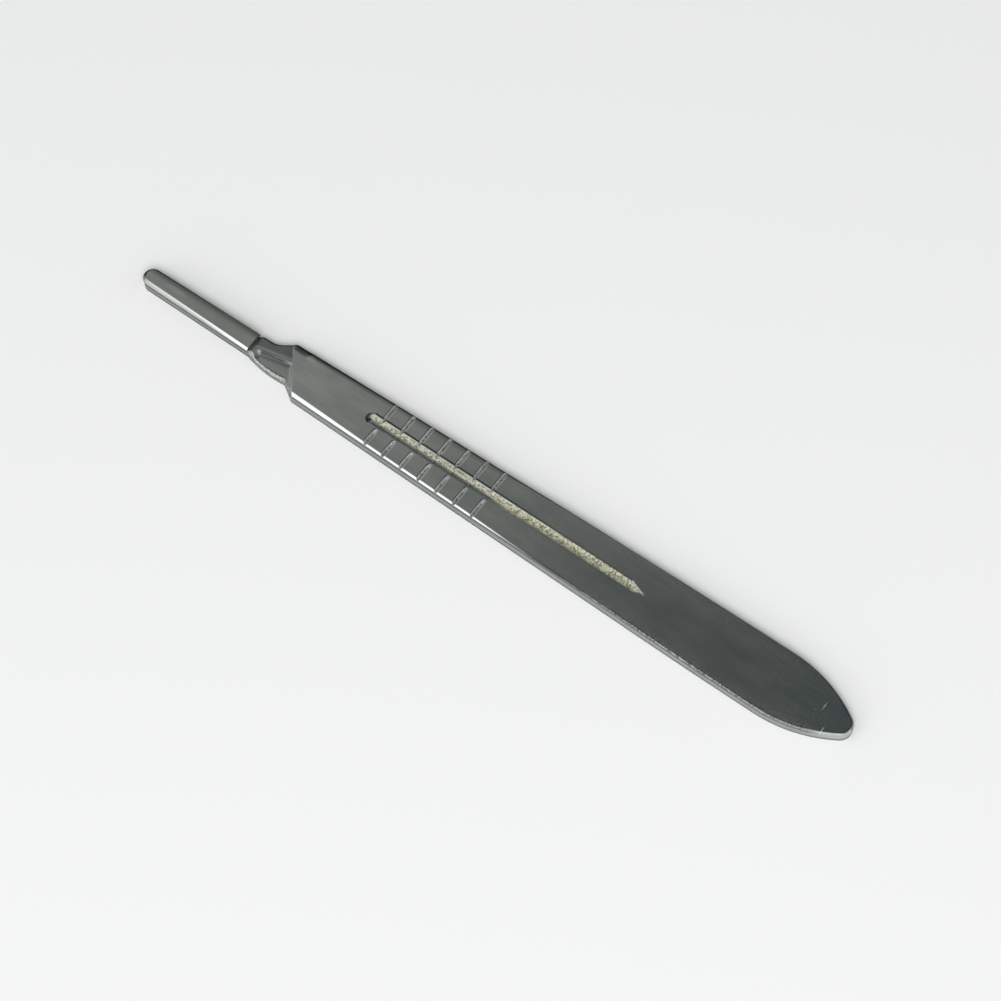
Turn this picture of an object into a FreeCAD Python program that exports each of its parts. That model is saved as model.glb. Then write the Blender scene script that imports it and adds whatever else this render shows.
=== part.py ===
import FreeCAD, Part
import math
import os
import Sketcher

# Scalpel handle, forged from one steel bar, in millimetres.
# +X runs from the blade end to the tail, +Z is up, the flat back lies on z = 0,
# and the origin is under the middle of the handle's length, on its centre line.
# Along the handle every position is measured from the tip of the tongue.

SIZES = (
    ("overall_length", 138.0),
    # tongue: a bar, the slots that the blade slides into, and the boss that holds it
    ("boss_length", 22.4),
    ("boss_tip_width", 3.2),
    ("boss_root_width", 3.6),
    ("boss_overhang", 0.14),
    ("waist_width", 2.2),
    ("seat_height", 1.95),
    ("blade_slot", 0.42),
    ("boss_cap", 0.48),
    ("boss_bevel_height", 0.3),
    ("boss_tip_bevel", 0.48),
    ("boss_root_bevel", 0.26),
    # neck and slanted shoulder: places along them are measured from the boss's end
    ("neck_start", 0.6),
    ("neck_far_step", 0.44),
    ("flare_start", 2.1),
    ("flare_end", 3.9),
    ("flare_step", 0.6),
    ("far_shoulder", 5.9),
    ("far_shoulder_radius", 0.9),
    ("near_heel", 8.0),
    ("neck_near_reach", 2.4),
    ("neck_near_bulge", 0.42),
    ("near_shoulder", 10.7),
    ("near_shoulder_radius", 0.3),
    ("heel_middle", 7.9),
    ("heel_slant", 35.5),
    ("heel_edge_chamfer", 0.1),
    ("neck_bevel_start", 0.35),
    ("neck_bevel_end", 0.6),
    # lifting relief beside the blade seat
    ("relief_depth", 0.35),
    ("relief_start", 0.8),
    ("relief_reach", 1.25),
    ("relief_slant", 12.0),
    ("relief_wall_angle", 45.0),
    # body: it widens and gets thinner towards the tail, which is a pointed arch
    ("shoulder_width", 8.2),
    ("full_width", 11.4),
    ("front_fall", 0.55),
    ("side_curve_length", 22.8),
    ("ogive_length", 14.2),
    ("nose_radius", 2.1),
    ("back_edge_chamfer", 0.25),
    ("front_edge_chamfer", 0.1),
    # bevels along the front's two long edges, in three stretches behind the boss
    ("bevel_taper_length", 29.6),
    ("bevel_even_length", 22.0),
    ("bevel_fade_length", 16.0),
    ("bevel_wide", 0.76),
    ("bevel_narrow", 0.36),
    ("bevel_last", 0.05),
    # long groove down the middle of the grip
    ("groove_start", 45.4),
    ("groove_length", 53.8),
    ("groove_point", 2.6),
    ("groove_width", 1.95),
    ("groove_depth", 0.5),
    ("groove_wall_angle", 42.0),
    # cross lines that roughen the grip, the first of them just behind the groove's start
    ("line_count", 7),
    ("first_line_setback", 2.7),
    ("line_pitch", 3.55),
    ("line_width", 0.6),
    ("line_depth", 0.3),
)

# Cuts run this far past the metal that they remove.
OVERRUN = 1.0
# Two places closer together than this are the same place.
TOLERANCE = 1e-4

doc = FreeCAD.newDocument("scalpel_handle")
sheet = doc.addObject("Spreadsheet::Sheet", "sizes")
for row, (alias, value) in enumerate(SIZES, start=1):
    sheet.set(f"A{row}", alias)
    sheet.set(f"B{row}", str(value))
    sheet.setAlias(f"B{row}", alias)
doc.recompute()

body = doc.addObject("PartDesign::Body", "handle_body")
body.Label = "handle"


def value_of(expression):
    result = sheet.evalExpression(expression)
    return float(getattr(result, "Value", result))


def along(position):
    """A position from the tongue's tip, as an X in the part's own frame."""
    return f"({position}) - sizes.overall_length / 2"


def behind_boss(distance):
    """A position from the tongue's tip, given how far it lies behind the boss."""
    return f"(sizes.boss_length + {distance})"


def origin_plane(role):
    return [item for item in body.Origin.OriginFeatures if item.Role == role][0]


def sketch_on(name, role, **offset):
    """A sketch on one of the body's origin planes, moved by expressions."""
    sketch = body.newObject("Sketcher::SketchObject", name)
    sketch.AttachmentSupport = [(origin_plane(role), "")]
    sketch.MapMode = "FlatFace"
    for axis, expression in offset.items():
        sketch.setExpression(f".AttachmentOffset.Base.{axis}", expression)
    return sketch


def tilt(sketch, turn_axis, expression):
    """Turns an attached sketch about one axis of its own plane."""
    base = sketch.AttachmentOffset.Base
    turn = FreeCAD.Rotation(turn_axis, 1)
    sketch.AttachmentOffset = FreeCAD.Placement(base, turn)
    sketch.setExpression(".AttachmentOffset.Rotation.Angle", expression)


def bind(sketch, kind, places, expression):
    """One driven constraint, tied to the sheet by its expression."""
    index = sketch.addConstraint(Sketcher.Constraint(kind, *places, value_of(expression)))
    sketch.setExpression(f"Constraints[{index}]", expression)


def arc_between(start, end, radius, left):
    """An arc of the given radius from start to end, with its centre on the left or right."""
    chord = end - start
    middle = (start + end) / 2
    rise = math.sqrt(max(radius ** 2 - (chord.Length / 2) ** 2, 0.0))
    normal = FreeCAD.Vector(-chord.y, chord.x, 0).normalize()
    side = 1 if left else -1
    centre = middle + normal * (rise * side)
    angles = [math.atan2(point.y - centre.y, point.x - centre.x) for point in (start, end)]
    circle = Part.Circle(centre, FreeCAD.Vector(0, 0, 1), radius)
    if left:
        return Part.ArcOfCircle(circle, angles[0], angles[1])
    return Part.ArcOfCircle(circle, angles[1], angles[0])


def close_outline(sketch, corners, arcs=None, round_ends=()):
    """A closed outline: each corner's two coordinates are driven.

    arcs maps the number of the corner where an arc starts to its radius and the side
    of its centre; a round end is a half circle between two corners; the rest is straight.
    """
    arcs = arcs or {}
    points = [FreeCAD.Vector(value_of(x), value_of(y), 0) for x, y in corners]
    starts = []
    ends = []
    for number, point in enumerate(points):
        target = points[(number + 1) % len(points)]
        if number in round_ends:
            half_circle = arc_between(point, target, (target - point).Length / 2, True)
            geometry = sketch.addGeometry(half_circle)
            bind(sketch, "DistanceX", (-1, 1, geometry, 3), corners[number][0])
            starts.append((geometry, 1))
            ends.append((geometry, 2))
        elif number in arcs:
            radius, left = arcs[number]
            edge = arc_between(point, target, value_of(radius), left)
            geometry = sketch.addGeometry(edge)
            bind(sketch, "Radius", (geometry,), radius)
            starts.append((geometry, 1 if left else 2))
            ends.append((geometry, 2 if left else 1))
        else:
            geometry = sketch.addGeometry(Part.LineSegment(point, target))
            starts.append((geometry, 1))
            ends.append((geometry, 2))
    for number, start in enumerate(starts):
        sketch.addConstraint(Sketcher.Constraint("Coincident", *ends[number - 1], *start))
        bind(sketch, "DistanceX", (-1, 1, *start), corners[number][0])
        bind(sketch, "DistanceY", (-1, 1, *start), corners[number][1])


def feature(kind, name, **settings):
    """A new feature at the end of the body."""
    item = body.newObject(f"PartDesign::{kind}", name)
    for key, setting in settings.items():
        setattr(item, key, setting)
    body.Tip = item
    return item


def finish(item):
    """Rebuilds the model up to this feature and says what it left."""
    doc.recompute()
    solid = body.Shape
    print(f"{item.Name}: volume {solid.Volume:.3f}, faces {len(solid.Faces)}, {item.State}")
    return item


def edges_where(item, test):
    names = []
    for number, edge in enumerate(item.Shape.Edges, start=1):
        if test(edge):
            names.append(f"Edge{number}")
    return names


def upright_at(item, x, y):
    """The vertical edge that stands at one corner of the outline."""
    place = FreeCAD.Vector(value_of(x), value_of(y), 0)

    def stands_there(edge):
        feet = [FreeCAD.Vector(end.X, end.Y, 0) for end in edge.Vertexes]
        return len(feet) == 2 and all((foot - place).Length < TOLERANCE for foot in feet)

    return edges_where(item, stands_there)


# The tongue: its bar is a little narrower than the boss above it.
tip_centre = "sizes.boss_tip_width / 2"
half_bar_tip = "(sizes.boss_tip_width / 2 - sizes.boss_overhang)"
half_bar_root = "(sizes.boss_root_width / 2 - sizes.boss_overhang)"

# The neck is a step wider on its far side, and flares out to the far shoulder.
neck_far_reach = f"({half_bar_root} + sizes.neck_far_step)"
flare_reach = f"({neck_far_reach} + sizes.flare_step)"
flare_run = "(sizes.flare_end - sizes.flare_start)"
flare_radius = f"({flare_run}^2 + sizes.flare_step^2) / (2 * sizes.flare_step)"
far_shoulder = behind_boss("sizes.far_shoulder")
near_shoulder = behind_boss("sizes.near_shoulder")

# Its near side bulges out in one arc from the boss to the heel.
near_heel = behind_boss("sizes.near_heel")
bulge_radius = ("((sizes.near_heel / 2)^2 + sizes.neck_near_bulge^2)"
                " / (2 * sizes.neck_near_bulge)")

# The sides run straight from the shoulder, then curve until they lie parallel at the ogive.
half_full = "(sizes.full_width / 2)"
ogive_start = "(sizes.overall_length - sizes.ogive_length)"
side_curve_start = f"({ogive_start} - sizes.side_curve_length)"
side_slope = ("((sizes.full_width - sizes.shoulder_width) / 2"
              f" / ({ogive_start} - sizes.side_curve_length / 2 - {far_shoulder}))")


def side_reach(position):
    """Half the width of the body on its straight stretch."""
    return f"(sizes.shoulder_width / 2 + {side_slope} * (({position}) - {far_shoulder}))"


near_corner_reach = side_reach(near_shoulder)
curve_start_reach = side_reach(side_curve_start)
curve_rise = f"({half_full} - {curve_start_reach})"
side_curve_radius = f"(sizes.side_curve_length^2 + {curve_rise}^2) / (2 * {curve_rise})"

# The ogive's arcs start parallel to the axis and run tangent into the nose.
nose_centre = "(sizes.overall_length - sizes.nose_radius)"
ogive_run = f"({nose_centre} - {ogive_start})"
ogive_radius = (f"(({ogive_run}^2 + {half_full}^2 - sizes.nose_radius^2)"
                f" / (2 * ({half_full} - sizes.nose_radius)))")
ogive_share = f"({ogive_radius} / ({ogive_radius} - sizes.nose_radius))"
nose_join = f"({ogive_start} + {ogive_share} * {ogive_run})"
nose_reach = f"({half_full} - {ogive_radius} + {ogive_share} * ({ogive_radius} - {half_full}))"

# The bar is as thick at the shoulder as its seat, slots and boss together.
thickness = "(sizes.seat_height + sizes.blade_slot + sizes.boss_cap)"

outline = sketch_on("outline", "XY_Plane")
close_outline(
    outline,
    corners=[
        (along(tip_centre), half_bar_tip),
        (along(tip_centre), f"-{half_bar_tip}"),
        (along("sizes.boss_length"), f"-{half_bar_root}"),
        (along(near_heel), "-sizes.neck_near_reach"),
        (along(near_shoulder), f"-{near_corner_reach}"),
        (along(side_curve_start), f"-{curve_start_reach}"),
        (along(ogive_start), f"-{half_full}"),
        (along(nose_join), f"-{nose_reach}"),
        (along(nose_join), nose_reach),
        (along(ogive_start), half_full),
        (along(side_curve_start), curve_start_reach),
        (along(far_shoulder), "sizes.shoulder_width / 2"),
        (along(behind_boss("sizes.flare_end")), flare_reach),
        (along(behind_boss("sizes.flare_start")), neck_far_reach),
        (along(behind_boss("sizes.neck_start")), neck_far_reach),
        (along("sizes.boss_length"), half_bar_root),
    ],
    arcs={
        2: (bulge_radius, True),
        5: (side_curve_radius, True),
        6: (ogive_radius, True),
        7: ("sizes.nose_radius", True),
        8: (ogive_radius, True),
        9: (side_curve_radius, True),
        12: (flare_radius, False),
    },
    round_ends=(0,),
)
blank = feature("Pad", "blank", Profile=outline)
blank.setExpression("Length", thickness)
finish(blank)

far_corner = upright_at(blank, along(far_shoulder), "sizes.shoulder_width / 2")
far_round = feature("Fillet", "far_shoulder_round", Base=(blank, far_corner))
far_round.setExpression("Radius", "sizes.far_shoulder_radius")
finish(far_round)

near_corner = upright_at(far_round, along(near_shoulder), f"-{near_corner_reach}")
near_round = feature("Fillet", "near_shoulder_round", Base=(far_round, near_corner))
near_round.setExpression("Radius", "sizes.near_shoulder_radius")
finish(near_round)

# The back's whole outline is broken by one small chamfer.
back_edges = edges_where(near_round, lambda edge: edge.BoundBox.ZMax < TOLERANCE)
back_chamfer = feature("Chamfer", "back_chamfer", Base=(near_round, back_edges))
back_chamfer.setExpression("Size", "sizes.back_edge_chamfer")
finish(back_chamfer)

# The front is ground to a slope that falls in a straight line from the boss to the tail.
front_slope = "(sizes.front_fall / (sizes.overall_length - sizes.boss_length))"


def front_level(position):
    """Height of the sloping front face."""
    return f"({thickness} - {front_slope} * (({position}) - sizes.boss_length))"


slope_side = sketch_on("slope_side", "XZ_Plane")
close_outline(
    slope_side,
    corners=[
        (along("sizes.boss_length"), thickness),
        (along("sizes.overall_length"), f"{thickness} - sizes.front_fall"),
        (along("sizes.overall_length"), f"{thickness} + {OVERRUN}"),
        (along("sizes.boss_length"), f"{thickness} + {OVERRUN}"),
    ],
)
front_grind = feature("Pocket", "front_grind", Profile=slope_side, SideType="Symmetric")
front_grind.Type = "ThroughAll"
finish(front_grind)


# The blade seat: everything above it goes, from the tongue's tip to the slanted heel
# that the blade's rear edge stops against.
half_clear = f"(sizes.full_width / 2 + {OVERRUN})"
heel_middle = behind_boss("sizes.heel_middle")


def heel_at(reach):
    """How far from the tip the heel stands, at one distance from the centre line."""
    return f"{heel_middle} - tan(sizes.heel_slant) * ({reach})"


seat_outline = sketch_on("seat_outline", "XY_Plane", z="sizes.seat_height")
close_outline(
    seat_outline,
    corners=[
        (along(f"-{OVERRUN}"), f"-{half_clear}"),
        (along(heel_at(f"-{half_clear}")), f"-{half_clear}"),
        (along(heel_at(half_clear)), half_clear),
        (along(f"-{OVERRUN}"), half_clear),
    ],
)
blade_seat = feature("Pocket", "blade_seat", Profile=seat_outline, Reversed=True)
blade_seat.Type = "ThroughAll"
finish(blade_seat)


# A light chamfer breaks the front's outline, from one end of the heel round the tail to
# the other.
def heel_x_at(reach):
    return value_of(along(heel_at(str(reach))))


def on_front_outline(edge):
    middle = edge.valueAt((edge.FirstParameter + edge.LastParameter) / 2)
    level = value_of(front_level(f"{middle.x} + sizes.overall_length / 2"))
    on_front = abs(middle.z - level) < TOLERANCE
    return on_front and middle.x > heel_x_at(middle.y) + TOLERANCE


front_edges = edges_where(blade_seat, on_front_outline)
front_chamfer = feature("Chamfer", "front_chamfer", Base=(blade_seat, front_edges))
front_chamfer.setExpression("Size", "sizes.front_edge_chamfer")
finish(front_chamfer)


# Bevels ground along both long edges of the front: widest at the shoulder, even along
# the cross lines, and run out to nothing before the groove's point.
def bevel_section(name, position, leg):
    section = sketch_on(name, "YZ_Plane", z=along(position))
    reach = side_reach(position)
    level = front_level(position)
    close_outline(
        section,
        corners=[
            (f"{reach} - {leg} - {OVERRUN}", f"{level} + {OVERRUN}"),
            (f"{reach} + {OVERRUN}", f"{level} - {leg} - {OVERRUN}"),
            (f"{reach} + {OVERRUN}", f"{level} + {OVERRUN}"),
        ],
    )
    return section


even_start = behind_boss("sizes.bevel_taper_length")
even_end = f"({even_start} + sizes.bevel_even_length)"
bevel_end = f"({even_end} + sizes.bevel_fade_length)"
bevel_sections = [
    bevel_section("bevel_at_boss", "sizes.boss_length", "sizes.bevel_wide"),
    bevel_section("bevel_at_lines", even_start, "sizes.bevel_narrow"),
    bevel_section("bevel_after_lines", even_end, "sizes.bevel_narrow"),
    bevel_section("bevel_at_end", bevel_end, "sizes.bevel_last"),
]
far_bevel = feature("SubtractiveLoft", "far_bevel", Profile=bevel_sections[0], Ruled=True)
far_bevel.Sections = bevel_sections[1:]
finish(far_bevel)
near_bevel = feature("Mirrored", "near_bevel", Originals=[far_bevel])
near_bevel.MirrorPlane = (origin_plane("XZ_Plane"), [""])
finish(near_bevel)


# The heel's top edge is broken too.
def on_heel_top(edge):
    middle = edge.valueAt((edge.FirstParameter + edge.LastParameter) / 2)
    on_heel = abs(middle.x - heel_x_at(middle.y)) < TOLERANCE
    on_top = middle.z > value_of(front_level(near_shoulder)) - TOLERANCE
    crosses_body = edge.BoundBox.YLength > value_of("sizes.shoulder_width / 2")
    return on_heel and on_top and crosses_body


heel_edges = edges_where(near_bevel, on_heel_top)
heel_chamfer = feature("Chamfer", "heel_chamfer", Base=(near_bevel, heel_edges))
heel_chamfer.setExpression("Size", "sizes.heel_edge_chamfer")
finish(heel_chamfer)


# Lifting relief: the near part of the seat lies lower, so that the blade's heel can be
# lifted off. Its far wall slants up to a ridge that runs to the heel.
def ridge_at(position):
    """Distance of the relief's far edge from the centre line."""
    return f"sizes.relief_reach - tan(sizes.relief_slant) * ({heel_middle} - ({position}))"


relief_start = behind_boss("sizes.relief_start")
ridge_end = (f"({heel_middle} - tan(sizes.heel_slant) * sizes.relief_reach"
             " / (1 + tan(sizes.heel_slant) * tan(sizes.relief_slant)))")
relief_outline = sketch_on("relief_outline", "XY_Plane", z="sizes.seat_height")
close_outline(
    relief_outline,
    corners=[
        (along(relief_start), f"-{half_clear}"),
        (along(heel_at(f"-{half_clear}")), f"-{half_clear}"),
        (along(ridge_end), ridge_at(ridge_end)),
        (along(relief_start), ridge_at(relief_start)),
    ],
)
relief = feature("Pocket", "lifting_relief", Profile=relief_outline)
relief.setExpression("Length", "sizes.relief_depth")
relief.setExpression("TaperAngle", "-sizes.relief_wall_angle")
finish(relief)


# A bevel ground by hand along the neck's near edge, wider towards the shoulder.
def neck_bevel_section(name, position, reach, leg):
    section = sketch_on(name, "YZ_Plane", z=along(position))
    level = "(sizes.seat_height - sizes.relief_depth)"
    close_outline(
        section,
        corners=[
            (f"-({reach}) - {OVERRUN}", f"{level} - {leg} - {OVERRUN}"),
            (f"-({reach}) + {leg} + {OVERRUN}", f"{level} + {OVERRUN}"),
            (f"-({reach}) - {OVERRUN}", f"{level} + {OVERRUN}"),
        ],
    )
    return section


neck_middle = behind_boss("sizes.near_heel / 2")
neck_middle_reach = f"({half_bar_root} + sizes.neck_near_reach) / 2 + sizes.neck_near_bulge"
neck_middle_leg = "(sizes.neck_bevel_start + sizes.neck_bevel_end) / 2"
neck_sections = [
    neck_bevel_section("neck_bevel_front", "sizes.boss_length", half_bar_root,
                       "sizes.neck_bevel_start"),
    neck_bevel_section("neck_bevel_middle", neck_middle, neck_middle_reach, neck_middle_leg),
    neck_bevel_section("neck_bevel_rear", near_heel, "sizes.neck_near_reach",
                       "sizes.neck_bevel_end"),
]
neck_bevel = feature("SubtractiveLoft", "neck_bevel", Profile=neck_sections[0], Ruled=True)
neck_bevel.Sections = neck_sections[1:]
finish(neck_bevel)


# The blade fitting on the tongue: a narrow waist, and above it the wider boss. The blade's
# slotted tang slides into the two side slots between the boss and the bar.
def tongue_outline(name, level, tip_width, root_width):
    """An outline with a round end; all of them share the centre of the tongue's tip."""
    sketch = sketch_on(name, "XY_Plane", z=level)
    close_outline(
        sketch,
        corners=[
            (along(tip_centre), f"({tip_width}) / 2"),
            (along(tip_centre), f"-({tip_width}) / 2"),
            (along("sizes.boss_length"), f"-({root_width}) / 2"),
            (along("sizes.boss_length"), f"({root_width}) / 2"),
        ],
        round_ends=(0,),
    )
    return sketch


waist_outline = tongue_outline("waist_outline", "sizes.seat_height",
                               "sizes.waist_width", "sizes.waist_width")
waist = feature("Pad", "waist", Profile=waist_outline)
waist.setExpression("Length", "sizes.blade_slot")
finish(waist)

boss_sections = [
    tongue_outline("boss_underside", "sizes.seat_height + sizes.blade_slot",
                   "sizes.boss_tip_width", "sizes.boss_root_width"),
    tongue_outline("boss_rim", f"{thickness} - sizes.boss_bevel_height",
                   "sizes.boss_tip_width", "sizes.boss_root_width"),
    tongue_outline("boss_top", thickness,
                   "sizes.boss_tip_width - 2 * sizes.boss_tip_bevel",
                   "sizes.boss_root_width - 2 * sizes.boss_root_bevel"),
]
boss = feature("AdditiveLoft", "boss", Profile=boss_sections[0], Ruled=True)
boss.Sections = boss_sections[1:]
finish(boss)


# A long groove lies in the middle of each face: blunt in front and pointed behind. What
# is cut into the front is measured from the boss's end, where its sketches are tilted.
def long_groove(name, front):
    sketch = sketch_on(f"{name}_outline", "XY_Plane")
    if front:
        start = "sizes.boss_length"
        sketch.setExpression(".AttachmentOffset.Base.x", along(start))
        sketch.setExpression(".AttachmentOffset.Base.z", thickness)
        tilt(sketch, FreeCAD.Vector(0, 1, 0), f"atan({front_slope})")
    else:
        start = "sizes.overall_length / 2"
    half_width = "sizes.groove_width / 2"
    round_centre = f"sizes.groove_start + {half_width} - {start}"
    point = f"sizes.groove_start + sizes.groove_length - {start}"
    close_outline(
        sketch,
        corners=[
            (round_centre, half_width),
            (round_centre, f"-{half_width}"),
            (f"{point} - sizes.groove_point", f"-{half_width}"),
            (point, "0"),
            (f"{point} - sizes.groove_point", half_width),
        ],
        round_ends=(0,),
    )
    groove = feature("Pocket", name, Profile=sketch, Reversed=not front)
    groove.setExpression("Length", "sizes.groove_depth")
    groove.setExpression("TaperAngle", "-sizes.groove_wall_angle")
    finish(groove)


long_groove("front_groove", True)
long_groove("back_groove", False)


# Cross lines: one row of V cuts straight across each face, cut through the edges.
def cross_lines(name, front):
    sketch = sketch_on(f"{name}_profile", "XZ_Plane")
    if front:
        start = "sizes.boss_length"
        outward = 1
        sketch.setExpression(".AttachmentOffset.Base.x", along(start))
        sketch.setExpression(".AttachmentOffset.Base.y", thickness)
        tilt(sketch, FreeCAD.Vector(0, 0, 1), f"-atan({front_slope})")
    else:
        start = "sizes.overall_length / 2"
        outward = -1
    middle = f"sizes.groove_start + sizes.first_line_setback - {start}"
    half_mouth = f"sizes.line_width / 2 * (1 + {OVERRUN} / sizes.line_depth)"
    mouth = str(outward * OVERRUN)
    close_outline(
        sketch,
        corners=[
            (f"{middle} - {half_mouth}", mouth),
            (middle, f"{-outward} * sizes.line_depth"),
            (f"{middle} + {half_mouth}", mouth),
        ],
    )
    cut = feature("Pocket", f"{name}_first", Profile=sketch, SideType="Symmetric")
    cut.Type = "ThroughAll"
    finish(cut)
    row_of_cuts = feature("LinearPattern", name, Originals=[cut], Mode="Spacing")
    row_of_cuts.Direction = (sketch, ["H_Axis"])
    row_of_cuts.setExpression("Offset", "sizes.line_pitch")
    row_of_cuts.setExpression("Occurrences", "sizes.line_count")
    finish(row_of_cuts)


cross_lines("front_lines", True)
cross_lines("back_lines", False)

doc.recompute()
faulty = [item.Name for item in doc.Objects if {"Invalid", "Error"} & set(item.State)]
if faulty:
    raise RuntimeError(f"features that failed: {faulty}")

parts = [body]
for part in parts:
    if part.Shape.isNull() or not part.Shape.isValid() or len(part.Shape.Solids) != 1:
        raise RuntimeError(f"{part.Label} is not one valid solid")

os.makedirs("parts", exist_ok=True)
for part in parts:
    part.Shape.exportStep(f"parts/{part.Label}.step")
    box = part.Shape.optimalBoundingBox(False)
    print(f"{part.Label}: {box.XLength:.2f} x {box.YLength:.2f} x {box.ZLength:.2f} mm,"
          f" {part.Shape.Volume:.1f} mm3")
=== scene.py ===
import bmesh
import bpy
import math
import numpy as np
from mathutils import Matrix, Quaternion, Vector


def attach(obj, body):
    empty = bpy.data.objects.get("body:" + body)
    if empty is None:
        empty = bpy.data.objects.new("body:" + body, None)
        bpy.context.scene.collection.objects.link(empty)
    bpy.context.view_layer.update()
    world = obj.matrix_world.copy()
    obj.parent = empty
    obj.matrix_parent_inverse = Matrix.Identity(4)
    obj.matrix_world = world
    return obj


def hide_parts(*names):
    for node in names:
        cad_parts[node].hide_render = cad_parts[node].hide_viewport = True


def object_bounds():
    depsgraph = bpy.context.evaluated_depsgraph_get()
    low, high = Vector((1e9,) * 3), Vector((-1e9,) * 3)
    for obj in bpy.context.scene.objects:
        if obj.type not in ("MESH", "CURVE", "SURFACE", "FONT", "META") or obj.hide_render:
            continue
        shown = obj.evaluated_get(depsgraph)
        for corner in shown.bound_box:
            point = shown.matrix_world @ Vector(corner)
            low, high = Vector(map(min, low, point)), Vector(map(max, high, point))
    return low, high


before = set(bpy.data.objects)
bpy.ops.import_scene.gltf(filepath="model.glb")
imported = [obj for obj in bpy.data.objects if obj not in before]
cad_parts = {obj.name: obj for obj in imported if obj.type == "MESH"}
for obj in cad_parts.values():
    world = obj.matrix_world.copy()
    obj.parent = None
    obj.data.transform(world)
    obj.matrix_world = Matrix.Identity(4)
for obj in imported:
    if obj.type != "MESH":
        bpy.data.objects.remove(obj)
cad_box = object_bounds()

MM = 0.001

# The handle's bar: tongue, neck and body are one forged stainless bar. Its broad faces are ground
# lengthwise and its edges tumbled a little round; the grip is stamped into both faces.
# Places are in millimetres from the tongue's tip, with y towards the far side.
LENGTH = 138.0
THICKNESS = 2.85
FRONT_FALL = 0.55
BOSS_END = 22.4
BAR_TIP_CENTRE = 1.6
BAR_TIP_RADIUS = 1.46
BAR_ROOT_REACH = 1.66
SEAT = 1.95
BACK_CHAMFER = 0.25
EDGE_ROUND = 0.09
TAIL_EDGE_ROUND = 0.28
NOSE_EDGE_ROUND = 0.45

front_slope = FRONT_FALL / (LENGTH - BOSS_END)
start_x = cad_box[1].x / MM - LENGTH


def stepped(x, steps):
    """A size that changes evenly between the places listed with it."""
    return np.interp(x, [at for at, size in steps], [size for at, size in steps])


# Handling has worn the edges of the tail rounder than the rest.
EDGE_ROUNDS = ((88.0, EDGE_ROUND), (108.0, TAIL_EDGE_ROUND), (128.0, TAIL_EDGE_ROUND),
               (137.0, NOSE_EDGE_ROUND))


def edge_round(x):
    return stepped(x, EDGE_ROUNDS)


def front_level(x):
    return THICKNESS - front_slope * (x - BOSS_END)


def soft_min(a, b, width):
    """The lower of two levels, with the corner between them rounded over the given width."""
    overlap = np.clip(width - np.abs(a - b), 0.0, None) / width
    return np.minimum(a, b) - overlap ** 2 * width / 4


# Its outline, forged and then ground: a round tip, a neck that flares unevenly on its two
# sides, straight sides that widen a little, and a tail that is a pointed arch.
FAR_SHOULDER = 28.3
NEAR_SHOULDER = 33.1
SHOULDER_REACH = 4.1
FULL_REACH = 5.7
OGIVE_START = 123.8
SIDE_CURVE = 22.8
NOSE_RADIUS = 2.1
FLARE_START = 24.5
FLARE_END = 26.3
NECK_REACH = 2.1
FLARE_REACH = 2.7
NEAR_HEEL = 30.4
NEAR_HEEL_REACH = 2.4
NEAR_BULGE = 0.42
NECK_STEP_RUN = 0.6
FAR_SHOULDER_SOFT = 0.17
NEAR_SHOULDER_SOFT = 0.05

side_slope = (FULL_REACH - SHOULDER_REACH) / (OGIVE_START - SIDE_CURVE / 2 - FAR_SHOULDER)
curve_start = OGIVE_START - SIDE_CURVE
nose_centre = LENGTH - NOSE_RADIUS
ogive_run = nose_centre - OGIVE_START
ogive_radius = ((ogive_run ** 2 + FULL_REACH ** 2 - NOSE_RADIUS ** 2)
                / (2 * (FULL_REACH - NOSE_RADIUS)))
nose_join = OGIVE_START + ogive_run * ogive_radius / (ogive_radius - NOSE_RADIUS)


def side_line(x):
    return SHOULDER_REACH + side_slope * (x - FAR_SHOULDER)


def tail_reach(x):
    curve_rise = FULL_REACH - side_line(curve_start)
    curve = FULL_REACH - curve_rise * ((OGIVE_START - x) / SIDE_CURVE) ** 2
    arch = FULL_REACH - ogive_radius + np.sqrt(np.clip(ogive_radius ** 2 - (x - OGIVE_START) ** 2, 0, None))
    nose = np.sqrt(np.clip(NOSE_RADIUS ** 2 - (x - nose_centre) ** 2, 0, None))
    return np.select([x < curve_start, x < OGIVE_START, x < nose_join], [side_line(x), curve, arch], nose)


def tongue_reach(x):
    tip = np.sqrt(np.clip(BAR_TIP_RADIUS ** 2 - (x - BAR_TIP_CENTRE) ** 2, 0, None))
    share = (x - BAR_TIP_CENTRE) / (BOSS_END - BAR_TIP_CENTRE)
    return np.where(x < BAR_TIP_CENTRE, tip, BAR_TIP_RADIUS + share * (BAR_ROOT_REACH - BAR_TIP_RADIUS))


def far_reach(x):
    step = stepped(x, ((BOSS_END, BAR_ROOT_REACH), (BOSS_END + NECK_STEP_RUN, NECK_REACH)))
    flare = NECK_REACH + (FLARE_REACH - NECK_REACH) * ((x - FLARE_START) / (FLARE_END - FLARE_START)) ** 2
    flank_slope = (SHOULDER_REACH - FLARE_REACH) / (FAR_SHOULDER - FLARE_END)
    shoulder = soft_min(FLARE_REACH + flank_slope * (x - FLARE_END), tail_reach(x), FAR_SHOULDER_SOFT)
    return np.select([x < BOSS_END, x < FLARE_START, x < FLARE_END],
                     [tongue_reach(x), step, flare], shoulder)


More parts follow.
